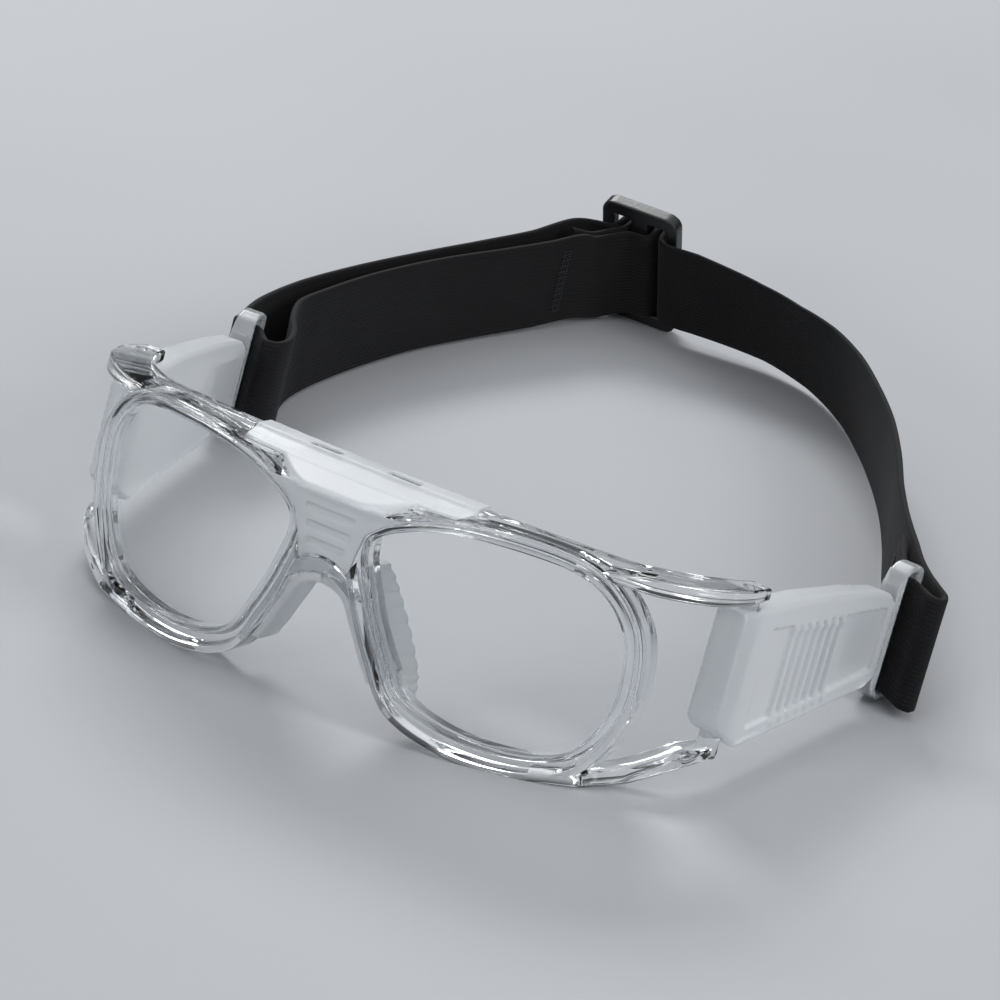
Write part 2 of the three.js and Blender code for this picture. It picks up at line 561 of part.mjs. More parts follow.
/** The band between two shares of the strap's middle line, kept `trim` mm short at each end. */
function band(from, to, {
  trim = GAP / 2, wide = STRAP_WIDE, thick = STRAP_THICK, shift = 0, spacing = 2.6,
} = {}) {
  const samples = steps(from, to, 400).map((t) => strapLine.getPoint(t));
  const length = samples.slice(1).reduce((sum, p, i) => sum + p.distanceTo(samples[i]), 0);
  const inset = (trim / length) * (to - from);
  const count = Math.max(1, Math.round(length / spacing));
  const rings = steps(from + inset, to - inset, count).map((t) => {
    const p = strapLine.getPoint(t);
    const tangent = strapLine.getTangent(t).setZ(0).normalize();
    const normal = new THREE.Vector3(-tangent.y, tangent.x, 0);
    const [lean, tilt] = [3, 4].map((k) =>
      along(STRAP.map((row, i) => [i / (STRAP.length - 1), row[k]]), t));
    const across = new THREE.Vector3(0, lean, 1).addScaledVector(normal, tilt).normalize();
    return [[-1, -1], [1, -1], [1, 1], [-1, 1]].map(([s, w]) => p.clone()
      .addScaledVector(normal, (s * thick) / 2 + shift).addScaledVector(across, (w * wide) / 2));
  });
  return loft(rings);
}

/** One row of bar-tack thread across the strap, lying on its face. */
const barTack = (share, side) => band(share - 0.0012, share + 0.0012, {
  trim: 0, wide: 19, thick: 0.3, shift: side * (STRAP_THICK / 2 + 0.45), spacing: 1.2,
});

/** The tri-glide slider: a frame with two slots, standing on its short edge. */
function slider() {
  const [w, h, r] = [SLIDER_WIDE / 2, SLIDER_TALL / 2, 3];
  const corners = [[w - r, h - r], [r - w, h - r], [r - w, r - h], [w - r, r - h]];
  const outline = new THREE.Shape(corners.flatMap(([x, z], turn) => steps(turn, turn + 1, 4)
    .map((q) => (q * Math.PI) / 2)
    .map((angle) => new THREE.Vector2(x + r * Math.cos(angle), z + r * Math.sin(angle)))));
  const plate = new THREE.ExtrudeGeometry(outline, { depth: SLIDER_THICK, bevelEnabled: false });
  plate.rotateX(Math.PI / 2).translate(0, SLIDER_THICK / 2, 0);
  const slotHigh = STRAP_WIDE / 2 + 1.3;
  const slots = [-1, 1].map((side) => {
    const centre = side * (SLIDER_MID_BAR + SLIDER_SLOT) / 2;
    return block(centre - SLIDER_SLOT / 2, centre + SLIDER_SLOT / 2, -9, 9, -slotHigh, slotHigh);
  });
  const shape = cut(plate, ...slots).rotateX(SLIDER_TILT);
  return shape.translate(SLIDER_CENTRE.x, SLIDER_CENTRE.y, SLIDER_CENTRE.z);
}

// ---- assembly -----------------------------------------------------------------------------------
const group = new THREE.Group();
const goggles = new THREE.Group();
goggles.rotation.x = -REST_PITCH;
goggles.position.z = REST_LIFT;
group.add(goggles);

function place(parent, name, geometry, material) {
  const mesh = new THREE.Mesh(geometry, material);
  mesh.name = name;
  parent.add(mesh);
}

place(goggles, 'front_frame', frontFrame(), clearPlastic());
place(goggles, 'bridge_cover', bridgeCover(), silicone());
for (const [side, turned] of [['left', (g) => g], ['right', mirrored]]) {
  place(goggles, `${side}_lens`, turned(lens()), lensPlastic());
  place(goggles, `${side}_nose_pad`, turned(nosePad()), silicone());
  place(goggles, `${side}_sleeve`, turned(sleeve()), silicone());
  place(goggles, `${side}_strap_bracket`, turned(bracket()), clearPlastic());
}

const cuts = {
  loopEnd: strapShare(BACK_RUN, 0), sideEnd: strapShare(BACK_RUN, 4), runEnd: strapShare(WEAVE, 0),
  weaveEnd: strapShare(WEAVE, 14), outerRearEnd: strapShare(RIGHT_OUTER, 2),
  outerEnd: strapShare(RIGHT_LOOP, 0), rightLoopEnd: strapShare(RIGHT_INNER, 0),
  innerEnd: strapShare(RIGHT_INNER, 3),
};
place(group, 'strap_left_loop', band(0, cuts.loopEnd, { spacing: 1.6 }), webbing());
place(group, 'strap_left_side', band(cuts.loopEnd, cuts.sideEnd), webbing());
place(group, 'strap_rear_run', band(cuts.sideEnd, cuts.runEnd), webbing());
place(group, 'strap_weave', band(cuts.runEnd, cuts.weaveEnd, { spacing: 1.2 }), webbing());
place(group, 'strap_rear_outer', band(cuts.weaveEnd, cuts.outerRearEnd), webbing());
place(group, 'strap_right_outer', band(cuts.outerRearEnd, cuts.outerEnd), webbing());
place(group, 'strap_right_loop', band(cuts.outerEnd, cuts.rightLoopEnd, { spacing: 1.6 }), webbing());
place(group, 'strap_right_inner', band(cuts.rightLoopEnd, cuts.innerEnd), webbing());
place(group, 'strap_sewn_end', band(cuts.innerEnd, 1, { spacing: 1.2 }), webbing());
place(group, 'left_bar_tack', barTack(strapShare(LEFT_LOOP, 0.6), -1), thread());
place(group, 'slider_bar_tack', barTack(strapShare(RIGHT_INNER, 5.5), -1), thread());
place(group, 'slider', slider(), blackPlastic());

const box = new THREE.Box3().setFromObject(group, true);
group.position.set(-(box.min.x + box.max.x) / 2, -(box.min.y + box.max.y) / 2, 0);

export default group;
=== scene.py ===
"""Looks of the sports protective goggles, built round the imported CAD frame.

Shapes are drawn in millimetres and become metres when a mesh is made. The front and the temples
are drawn upright in their own coordinates and then leaned back together, as they rest.
"""

import math

import bmesh
import bpy
import numpy as np
from mathutils import Matrix, Vector


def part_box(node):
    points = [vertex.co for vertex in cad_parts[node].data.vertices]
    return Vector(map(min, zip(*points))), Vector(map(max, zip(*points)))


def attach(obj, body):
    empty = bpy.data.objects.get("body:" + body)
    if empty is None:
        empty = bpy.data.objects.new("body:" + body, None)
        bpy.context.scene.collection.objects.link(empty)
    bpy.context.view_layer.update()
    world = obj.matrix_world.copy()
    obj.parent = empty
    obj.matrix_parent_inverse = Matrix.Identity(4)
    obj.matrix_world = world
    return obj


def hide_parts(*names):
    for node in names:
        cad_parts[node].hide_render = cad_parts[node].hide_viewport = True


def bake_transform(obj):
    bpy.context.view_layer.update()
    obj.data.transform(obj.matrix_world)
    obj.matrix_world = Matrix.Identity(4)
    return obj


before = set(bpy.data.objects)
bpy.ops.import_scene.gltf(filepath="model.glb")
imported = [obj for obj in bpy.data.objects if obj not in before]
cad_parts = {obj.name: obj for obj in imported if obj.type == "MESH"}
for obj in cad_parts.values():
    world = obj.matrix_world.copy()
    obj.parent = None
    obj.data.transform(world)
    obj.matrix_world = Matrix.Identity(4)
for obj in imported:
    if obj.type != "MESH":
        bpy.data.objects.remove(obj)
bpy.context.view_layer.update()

# ---- driving dimensions, in millimetres -----------------------------------------------------------
REST_PITCH = math.radians(11.2)
REST_LIFT = 0.9
LENS_RADIUS = 117
LENS_TILT = 0.221
LENS_MID_Z = 27
LENS_FRONT_Y = -0.9
LENS_THICK = 1.8
LENS_SEAT = 0.95
RIM_FRONT = -3.4
RIM_BACK = 4.2
GROOVE_DEPTH = 1.3
GROOVE_HALF = 1.25
BROW_TOP_Z = 50.9
BROW_DROOP = 1400
BROW_BACK = 10
COVER_HALF = 25.5
BAND_DEPTH = 5.6
BAND_FOOT = 2.2
BAND_LOW = 48
SADDLE_HALF = 15
COVER_FRONT = RIM_FRONT + 0.6
BAND_EDGE = BAND_LOW + 0.8
TAB_X = 9
HINGE = (71.7, 36.4)
POST_RADIUS = 2.2
TEMPLE_START = np.array([69.8, 24.0])
TEMPLE_SPLAY = math.atan2(10.5, 69)
SLEEVE_START, SLEEVE_END = 7.3, 68
STRAP_WIDE, STRAP_THICK = 25, 1.5
SLIDER_TILT = math.radians(20)
SLIDER_CENTRE = np.array([-50.5, 237.5, 16.75])
SLIDER_SLACK = 1.1
GAP = 0.3  # between neighbouring pieces
MIDDLE_GAP = GAP / 2  # from each nose pad to the middle
PAD_TEETH = 10
FINE_VOXEL, SLIDER_VOXEL, SLEEVE_VOXEL = 0.25, 0.32, 0.38
BRACKET_VOXEL = 0.3

OPENING = [
    (60, 26.5), (58.5, 37.5), (52, 45), (36, 47.2), (19, 44.8), (9.2, 38.5),
    (11.4, 27.4), (16, 17), (20.5, 9.8), (35, 5.6), (52.5, 8.8), (58.6, 18.5),
]

slider_low, slider_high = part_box("slider")
slider_at = (slider_low + slider_high) / 2 * 1000
SHIFT = np.array([slider_at.x - SLIDER_CENTRE[0], slider_at.y - SLIDER_CENTRE[1], 0])


# ---- curves -----------------------------------------------------------------------------------------
def spline(points, shares, closed=False):
    """Points of a centripetal Catmull-Rom curve at shares of its control points."""
    pts = np.asarray(points, float)
    count = len(pts)
    found = []
    for share in np.atleast_1d(shares):
        at = (count if closed else count - 1) * share
        k = min(int(math.floor(at)), count - 1 if closed else count - 2)
        w = at - k
        p1, p2 = pts[k % count], pts[(k + 1) % count]
        p0 = pts[(k - 1) % count] if closed or k > 0 else 2 * pts[0] - pts[1]
        p3 = pts[(k + 2) % count] if closed or k + 2 < count else 2 * pts[-1] - pts[-2]
        sides = ((p0, p1), (p1, p2), (p2, p3))
        d0, d1, d2 = (max(np.linalg.norm(b - a), 1e-8) ** 0.5 for a, b in sides)
        t1 = ((p1 - p0) / d0 - (p2 - p0) / (d0 + d1) + (p2 - p1) / d1) * d1
        t2 = ((p2 - p1) / d1 - (p3 - p1) / (d1 + d2) + (p3 - p2) / d2) * d1
        c2, c3 = -3 * p1 + 3 * p2 - 2 * t1 - t2, 2 * p1 - 2 * p2 + t1 + t2
        found.append(p1 + t1 * w + c2 * w**2 + c3 * w**3)
    return np.array(found)


def run_along(line):
    """The distance from a line's first point to each of its points."""
    return np.concatenate([[0], np.cumsum(np.linalg.norm(np.diff(line, axis=0), axis=1))])


def evenly_round(points, count):
    """Points spaced evenly round a closed curve of that kind."""
    dense = spline(points, np.linspace(0, 1, 1601)[:-1], closed=True)
    line = np.vstack([dense, dense[:1]])
    run = run_along(line)
    at = np.linspace(0, run[-1], count + 1)[:-1]
    return np.stack([np.interp(at, run, line[:, k]) for k in range(3)], 1)


def along(rows, at):
    """Straight-line interpolation through [at, value] rows."""
    return np.interp(at, [r[0] for r in rows], [r[1] for r in rows])


# ---- meshes -----------------------------------------------------------------------------------------
def leaned(points):
    """From the goggles' own upright coordinates to the row's, still unshifted."""
    p = np.asarray(points, float)
    c, s = math.cos(REST_PITCH), math.sin(REST_PITCH)
    return np.stack([p[:, 0], p[:, 1] * c + p[:, 2] * s, p[:, 2] * c - p[:, 1] * s + REST_LIFT], 1)


def new_object(name, points, faces, upright=True):
    """A mesh object from points in millimetres."""
    placed = leaned(points) if upright else np.asarray(points, float)
    mesh = bpy.data.meshes.new(name)
    mesh.from_pydata([tuple(p) for p in (placed + SHIFT) / 1000], [], faces)
    bm = bmesh.new()
    bm.from_mesh(mesh)
    bmesh.ops.recalc_face_normals(bm, faces=bm.faces)
    bm.to_mesh(mesh)
    bm.free()
    obj = bpy.data.objects.new(name, mesh)
    bpy.context.scene.collection.objects.link(obj)
    return obj


def loft(name, rings, closed=False, upright=True):
    """Skins a row of rings, each the same number of points, and caps an open row."""
    rings = np.asarray(rings, float)
    rows, count = rings.shape[:2]
    faces = []
    for i in range(rows if closed else rows - 1):
        here, there = i * count, ((i + 1) % rows) * count
        for j in range(count):
            k = (j + 1) % count
            faces.append((here + j, here + k, there + k, there + j))
    if not closed:
        faces.append(tuple(range(count))[::-1])
        faces.append(tuple(range((rows - 1) * count, rows * count)))
    return new_object(name, rings.reshape(-1, 3), faces, upright)


def settle(obj):
    """Replaces an object's mesh by what its modifiers make of it."""
    made = bpy.data.meshes.new_from_object(obj.evaluated_get(bpy.context.evaluated_depsgraph_get()))
    obj.modifiers.clear()
    obj.data = made
    return obj


def boolean(obj, tools, operation):
    """Joins or cuts an object with others, which are then gone."""
    for tool in tools:
        change = obj.modifiers.new("cut", "BOOLEAN")
        change.operation, change.solver, change.object = operation, "MANIFOLD", tool
    settle(obj)
    for tool in tools:
        bpy.data.objects.remove(tool)
    return obj


def moulded(obj, voxel, rounds):
    """Rounds every edge as a mould does: a fine even mesh, then a light smoothing."""
    remesh = obj.modifiers.new("remesh", "REMESH")
    remesh.mode, remesh.voxel_size, remesh.use_smooth_shade = "VOXEL", voxel / 1000, True
    soften = obj.modifiers.new("soften", "SMOOTH")
    soften.factor, soften.iterations = 0.5, rounds
    settle(obj)
    obj.data.shade_smooth()
    return obj


def crisp(obj, degrees=38):
    """Smooth shading that stops at the sharp edges."""
    obj.data.shade_smooth()
    obj.data.set_sharp_from_angle(angle=math.radians(degrees))
    evened = obj.modifiers.new("evened", "WEIGHTED_NORMAL")
    evened.keep_sharp = True
    return settle(obj)


def rounded(section, radius, turns=3):
    """A closed section with every corner rounded."""
    corners = [np.array(p, float) for p in section]
    most = 0.45  # of a side, for each of its two corners
    found = []
    for i, here in enumerate(corners):
        a, b = corners[i - 1] - here, corners[(i + 1) % len(corners)] - here
        reach = min(radius, most * np.linalg.norm(a), most * np.linalg.norm(b))
        p, q = here + a / np.linalg.norm(a) * reach, here + b / np.linalg.norm(b) * reach
        for t in np.linspace(0, 1, turns + 1):
            found.append(tuple((1 - t) ** 2 * p + 2 * t * (1 - t) * here + t * t * q))
    return found


def cad_copy(node, name):
    """A new object with a copy of a CAD node's mesh."""
    obj = bpy.data.objects.new(name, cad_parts[node].data.copy())
    bpy.context.scene.collection.objects.link(obj)
    bm = bmesh.new()
    bm.from_mesh(obj.data)
    bmesh.ops.remove_doubles(bm, verts=bm.verts, dist=1e-6)
    bm.to_mesh(obj.data)
    bm.free()
    return obj


def box_mm(name, x0, x1, y0, y1, z0, z1, upright=True):
    ends = [[(x, y0, z0), (x, y1, z0), (x, y1, z1), (x, y0, z1)] for x in (x0, x1)]
    return loft(name, ends, upright=upright)


def side_word(side):
    return "left" if side > 0 else "right"


# ---- front -------------------------------------------------------------------------------------------
def lens_y(x, z):
    return LENS_FRONT_Y + x * x / (2 * LENS_RADIUS) - LENS_TILT * (z - LENS_MID_Z)


def on_front(x, z, depth):
    return (x, lens_y(x, z) + depth, z)


def opening_edge(count):
    """Points of the lens opening with their outward normals."""
    line = evenly_round([(x, 0, z) for x, z in OPENING], count)
    step = np.roll(line, -1, 0) - np.roll(line, 1, 0)
    step /= np.linalg.norm(step, axis=1)[:, None]
    return [(p[0], p[2], t[2], -t[0]) for p, t in zip(line, step)]


def rim_width(nx, nz):
    return 4.3 - 0.9 * max(0, nx) ** 2 + 1.1 * max(0, -nz) ** 2 - max(0, nz) ** 2


def rim(side):
    rings = []
    for x, z, nx, nz in opening_edge(210):
        wide = rim_width(nx, nz)
        section = rounded([
            (0, -2.75), (1.15, -2.75), (1.55, -1.4),
            (wide * 0.58, -1.4), (wide * 0.7, -3.5), (wide, -3.5), (wide, RIM_BACK),
            (0, RIM_BACK), (0, GROOVE_HALF), (GROOVE_DEPTH, GROOVE_HALF),
            (GROOVE_DEPTH, -GROOVE_HALF), (0, -GROOVE_HALF)], 0.4)
        rings.append([on_front(side * (x + nx * out), z + nz * out, depth) for out, depth in section])
    return loft("rim", rings, closed=True)


def brow_top(x):
    return BROW_TOP_Z - x * x / BROW_DROOP


def brow_y(x, depth):
    return lens_y(x, 48) + depth


def brow():
    rings = []
    for x in np.linspace(-57, 57, 90):
        deep = 1.6 * min(1, max(0, (32 - abs(x)) / 6))
        section = rounded([
            (-1, -1.3 - deep), (-1, -0.9), (5.4, -0.9), (6.2, 0), (BROW_BACK, 0),
            (BROW_BACK, -3.6 - deep), (7.5, -4.2 - deep), (3.6, -3 - deep), (3, -1.3 - deep)], 0.3)
        rings.append([(x, brow_y(x, d), brow_top(x) + rise) for d, rise in section])
    return loft("brow", rings)


def nose_web():
    half = 7.3
    rings = []
    for x in np.linspace(-half, half, 20):
        low, high = 29.4 - 3.2 * (x / half) ** 2, brow_top(x) - 1.2
        rings.append([on_front(x, z, d) for z, d in
                      ((low, -1.4), (high, -1.4), (high, RIM_BACK), (low, RIM_BACK))])
    return loft("nose_web", rings)


def nose_arch(spare):
    half = 8.4
    rings = []
    for x in np.linspace(-half, half, 30):
        low = 29.2 - spare - 4.6 * (x / half) ** 2
        high, front = low + 3.2 + 2 * spare, RIM_FRONT - spare
        section = rounded([(low, front), (high, front), (high, RIM_BACK), (low, RIM_BACK)], 0.5)
        rings.append([on_front(x, z, d) for z, d in section])
    return loft("nose_arch", rings)


def arm(side, rows, round_bar=False):
    """A tapering arm from rows of [x, y, half width, low z, high z]."""
    shares = np.linspace(0, 1, 48)
    line = spline([(r[0], r[1], 0) for r in rows], shares)
    step = np.gradient(line, axis=0)
    step /= np.linalg.norm(step, axis=1)[:, None]
    places = np.linspace(0, 1, len(rows))
    rings = []
    for p, t, share in zip(line, step, shares):
        half, low, high = (np.interp(share, places, [r[k] for r in rows]) for k in (2, 3, 4))
        if round_bar:
            mid, tall = (low + high) / 2, (high - low) / 2
            turn = [(math.cos(a), math.sin(a)) for a in np.linspace(0, 2 * math.pi, 21)[:-1]]
            section = [(half * math.copysign(abs(c) ** 0.7, c), mid + tall * math.copysign(abs(s) ** 0.7, s))
                       for c, s in turn]
        else:
            section = rounded([(-half, low), (half, low), (half, high), (-half, high)], 0.7, 5)
        rings.append([(side * (p[0] + t[1] * s), p[1] - t[0] * s, z) for s, z in section])
    return loft("arm", rings)


UPPER_HORN = [
    (46, 7.8, 4.6, 46, 47.8), (53, 11, 5.2, 46, 48.3), (60, 15.6, 5.2, 45.2, 48.7),
    (66.6, 22.4, 4.7, 45, 48.7), (70.4, 31, 3.9, 45, 48.3), (71.9, 40.4, 2.5, 45, 47.6),
]
LOWER_HORN = [
    (46, 13.6, 3.4, 0.6, 4.6), (55, 17.4, 3.6, 2.2, 6.4), (62.4, 22.6, 3.4, 5.2, 9.8),
    (68.6, 29.4, 3.2, 9.8, 14.2), (71.7, 37.6, 2.5, 12, 14.9),
]


def post(side, radius, low, high):
    """An upright round bar on the hinge axis."""
    ring = [(side * HINGE[0] + radius * math.cos(a), HINGE[1] + radius * math.sin(a))
            for a in np.linspace(0, 2 * math.pi, 33)[:-1]]
    return loft("post", [[(x, y, z) for x, y in ring] for z in (low, high)])


def cover_space(spare, front=COVER_FRONT):
    """The solid that the cover fills round the brow and over the nose."""
    shelf, saddle, plate = [], [], []
    for x in np.linspace(-COVER_HALF - spare, COVER_HALF + spare, 60):
        top, back = brow_top(x) + 0.4 + spare, BROW_BACK + 1.6 + spare
        shelf.append([(x, brow_y(x, d), z) for d, z in (
            (BAND_FOOT - spare, BAND_LOW - spare), (BAND_FOOT - spare, BAND_EDGE),
            (BAND_DEPTH - spare, top - 0.7), (BAND_DEPTH + 0.6 - spare, top),
            (back, top), (back, 46 - spare))])
    for x in np.linspace(-SADDLE_HALF - spare, SADDLE_HALF + spare, 40):
        fade = min(1, max(0, (abs(x) - 6) / 9)) ** 1.5
        edge = front + (BAND_FOOT - spare - front) * fade
        saddle.append([(x, brow_y(x, d), z) for d, z in (
            (edge, 45), (edge, 46.4 + spare + 2.3 * fade), (BAND_FOOT + 0.2, BAND_EDGE + spare),
            (BAND_FOOT + 1.2, BAND_EDGE + spare), (BAND_FOOT + 1.2, 45))])
    wing = [(29.5, 5.4), (34.4, 6.4), (37, 7.1), (40, 8.0), (43, 11.5), (45.5, 16)]
    for z in np.linspace(wing[0][0], wing[-1][0], 28):
        wide = along(wing, z) + spare
        low = z - (spare if z < 37 else 0)
        across = np.linspace(-wide, wide, 20)
        plate.append([on_front(x, low, front) for x in across]
                     + [on_front(x, low, -0.5) for x in across[::-1]])
    lower = [loft("cover_saddle", saddle), loft("cover_plate", plate)]
    return boolean(loft("cover_shelf", shelf), lower, "UNION")


def clear_of_cover():
    """The space above the foot of the cover's band, which no clear plastic fills."""
    rings = []
    for x in np.linspace(-COVER_HALF - GAP, COVER_HALF + GAP, 104):
        low = BAND_LOW + (-0.8 if abs(x) < SADDLE_HALF else GAP)
        rings.append([(x, brow_y(x, d), z) for d, z in (
            (-8, low), (-8, 58), (BAND_DEPTH, 58), (BAND_DEPTH, BAND_LOW + 2.4), (BAND_FOOT, low))])
    return loft("clear_of_cover", rings)


def cover_core(inset):
    """What stays clear plastic inside the cover."""
    upper, lower = [], []
    for x in np.linspace(-29, 29, 40):
        top = brow_top(x) - 1.2
        upper.append([(x, brow_y(x, d + inset) + 0.2, z - (inset if z > 44 else 0)) for d, z in (
            (-1.4, 44), (-1.4, 45.2), (2.8, 47.2), (3.8, 47.4), (6.9, top),
            (BROW_BACK - 2 * inset, top), (BROW_BACK - 2 * inset, 44))])
        lower.append([on_front(x, z, d + inset) for z, d in ((24, -1.7), (45, -1.7), (45, 8), (24, 8))])
    return loft("core_upper", upper), loft("core_lower", lower)


def cover_tab(x, spare, rise=0):
    """One of the frame's tabs that stand in the cover's slots."""
    half = 3.2 + spare
    return box_mm("tab", x - half, x + half, brow_y(x, 7.2) - spare, brow_y(x, 9.2) + spare,
                  brow_top(x) - 3, brow_top(x) + rise)


def front_frame():
    """The clear moulding, cut back where the cover wraps it."""
    body = rim(1)
    parts = [rim(-1), brow(), nose_web(), nose_arch(0)]
    for side in (1, -1):
        parts += [arm(side, UPPER_HORN), arm(side, LOWER_HORN, True), post(side, POST_RADIUS, 12, 46)]
    boolean(body, parts, "UNION")
    jacket = boolean(cover_space(GAP, -8), [*cover_core(GAP), nose_arch(0)], "DIFFERENCE")
    boolean(body, [jacket, clear_of_cover()], "DIFFERENCE")
    boolean(body, [cover_tab(TAB_X, 0), cover_tab(-TAB_X, 0)], "UNION")
    floor = box_mm("floor", -120, 120, -60, 160, -40, 0, upright=False)
    boolean(body, [floor], "DIFFERENCE")
    body.name = "clear_front"
    return crisp(body)


def striation(share):
    """A fine groove along the slope of the cover's band, at a share of the slope's height."""
    half = COVER_HALF - 1.2
    depth, low = BAND_FOOT + share * (BAND_DEPTH - BAND_FOOT), BAND_EDGE + share * 1.8
    section = ((-1, 0.7), (0.25, 0.05), (0.4, 0.35), (-0.7, 1.2))
    return loft("striation", [[(x, brow_y(x, depth + d), low + z - x * x / BROW_DROOP) for d, z in section]
                              for x in np.linspace(-half, half, 50)])


def nose_groove(low, half):
    """A level groove in the cover over the nose."""
    section = ((-1, low), (0.55, low + 0.2), (0.55, low + 1.6), (-1, low + 1.8))
    return loft("groove", [[on_front(x, z, COVER_FRONT + d) for d, z in section]
                           for x in np.linspace(-half, half, 16)])


def bridge_cover():
    """The soft skin round the brow, with slots for the tabs, striations and three nose grooves."""
    skin = boolean(cover_space(0), [*cover_core(0), nose_arch(GAP)], "DIFFERENCE")
    hollows = [cover_tab(x, GAP, 3) for x in (TAB_X, -TAB_X)]
    hollows += [striation(0.2 + 0.2 * k) for k in range(4)]
    hollows += [nose_groove(low, half) for low, half in ((40.8, 5.6), (37.3, 5), (34, 4.2))]
    boolean(skin, hollows, "DIFFERENCE")
    skin.name = "soft_bridge_cover"
    return moulded(skin, FINE_VOXEL, 3)


def lens(side):
    """A curved plate with eased edges, seated in the rim's groove."""
    edge = opening_edge(180)
    middle = (35, 27)
    shares = [0.02, 0.25, 0.5, 0.75, 0.93, 0.985, 1]
    trims = [0, 0, 0, 0, 0, 0.03, 0.25]

    def layer(share, depth):
        return [on_front(side * (middle[0] + (x + nx * LENS_SEAT - middle[0]) * share),
                         middle[1] + (z + nz * LENS_SEAT - middle[1]) * share, depth)
                for x, z, nx, nz in edge]

    half = LENS_THICK / 2
    rings = [layer(s, trim - half) for s, trim in zip(shares, trims)]
    rings += [layer(s, half - trim) for s, trim in zip(shares[::-1], trims[::-1])]
    obj = loft(f"clear_lens_{side_word(side)}", rings)
    obj.data.shade_smooth()
    obj.modifiers.new("edges", "EDGE_SPLIT").split_angle = math.radians(40)
    return settle(obj)


def nose_pad(side):
    """A serrated leaf behind the rim, and a lining that wraps under the arch to the middle."""
    line = [(7.4, 0, 33.5), (9, 0, 27.5), (12, 0, 20), (15.4, 0, 12.8), (17.6, 0, 8)]
    rings = []
    for t in np.linspace(0, 1, 130):
        p = spline(line, t)[0]
        leaf = math.sin(math.pi * (0.1 + 0.84 * t)) ** 0.7
        front = RIM_BACK + GAP
        back = front + 1.8 + 5.6 * leaf
        middle = (front + back) / 2
        tooth = 0.5 * (0.5 + 0.5 * math.cos(t * 2 * math.pi * PAD_TEETH)) ** 0.6 - 0.25
        section = ((-1.2, front), (1.3, front), (1.4 + leaf * 0.5 + tooth, middle),
                   (1.3 + leaf + tooth, back - 0.3), (leaf + 0.4, back + 0.3 + tooth),
                   (leaf - 0.6, back - 0.2), (leaf * 0.4 - 1.0, middle))
        rings.append([on_front(side * (p[0] + s), p[2], d) for s, d in section])
    pad = loft(f"soft_nose_pad_{side_word(side)}", rings)
    under = [(MIDDLE_GAP, 0, 29.2), (3, 0, 28.55), (5.4, 0, 27.25), (7, 0, 25.4),
             (8.4, 0, 22.4), (10.1, 0, 18.8), (12, 0, 14.6), (14.2, 0, 10.6)]
    shares = np.linspace(0, 1, 70)
    places = spline(under, shares)
    runs = np.gradient(places, axis=0)
    runs /= np.linalg.norm(runs, axis=1)[:, None]
    rings = []
    for t, p, run in zip(shares, places, runs):
        slim = 1 - 0.3 * t
        section = rounded([
            (0.4, -2.2), (2.3 * slim, -1.8), (2.8 * slim, 0), (2.8 * slim, 6), (1.8 * slim, 7.6),
            (-2.6, 7.6), (-2.6, RIM_BACK + GAP), (0.4, RIM_BACK + GAP)], 0.4)
        rings.append([on_front(side * max(MIDDLE_GAP, p[0] + run[2] * out), p[2] - run[0] * out, d)
                      for out, d in section])
    boolean(pad, [loft("lining", rings)], "UNION")
    return moulded(pad, FINE_VOXEL, 2)


# ---- temples ----------------------------------------------------------------------------------------
TEMPLE_AXIS = np.array([math.sin(TEMPLE_SPLAY), math.cos(TEMPLE_SPLAY)])


def on_temple(side, a, t, z):
    """A place `a` along the temple, `t` outwards and `z` up."""
    x = TEMPLE_START[0] + TEMPLE_AXIS[0] * a + TEMPLE_AXIS[1] * t
    return (side * x, TEMPLE_START[1] + TEMPLE_AXIS[1] * a - TEMPLE_AXIS[0] * t, z)


SLEEVE_TOP = [
    (SLEEVE_START, 43.4), (18, 44), (30, 44.9), (50, 44.7), (62, 43.9), (66, 43), (SLEEVE_END, 41.6),
]
SLEEVE_LOW = [(SLEEVE_START, 19.6), (8.5, 18.2), (18, 14), (65, 22.1), (SLEEVE_END, 24)]
RIB_COUNT, RIB_START, RIB_PITCH = 7, 29, 3.1
RIB_ROOT = 1.2  # how far out of the sleeve's middle a rib starts


def sleeve_half(a):
    """Half the sleeve's thickness, which thins to the back."""
    return along([(0, 3.75), (SLEEVE_END, 2.7)], a)


def sleeve_blank(side):
    """The whole arm with eased edges."""
    ease = 0.9
    starts, ends = [SLEEVE_START, 7.6, 8.1], [66.6, 67.4, SLEEVE_END]
    rings = []
    for a in [*starts, *np.linspace(8.6, 66, 60), *ends]:
        low, top, half = along(SLEEVE_LOW, a), along(SLEEVE_TOP, a), sleeve_half(a)
        inner = half - ease
        rings.append([on_temple(side, a, t, z) for t, z in (
            (-half, low + ease), (-inner, low), (inner, low), (half, low + ease),
            (half, top - ease), (inner, top), (-inner, top), (-half, top - ease))])
    return loft("sleeve", rings)


def sleeve_panel(side):
    """The sunk panel on the outer face."""
    rings = []
    for a in np.linspace(19, 65.5, 24):
        low, high, floor = along(SLEEVE_LOW, a) + 4, 38.8 + a * 0.02, sleeve_half(a) - 1.1
        section = ((floor, low), (5, low), (5, high), (floor, high))
        rings.append([on_temple(side, a, t, z) for t, z in section])
    return loft("panel", rings)


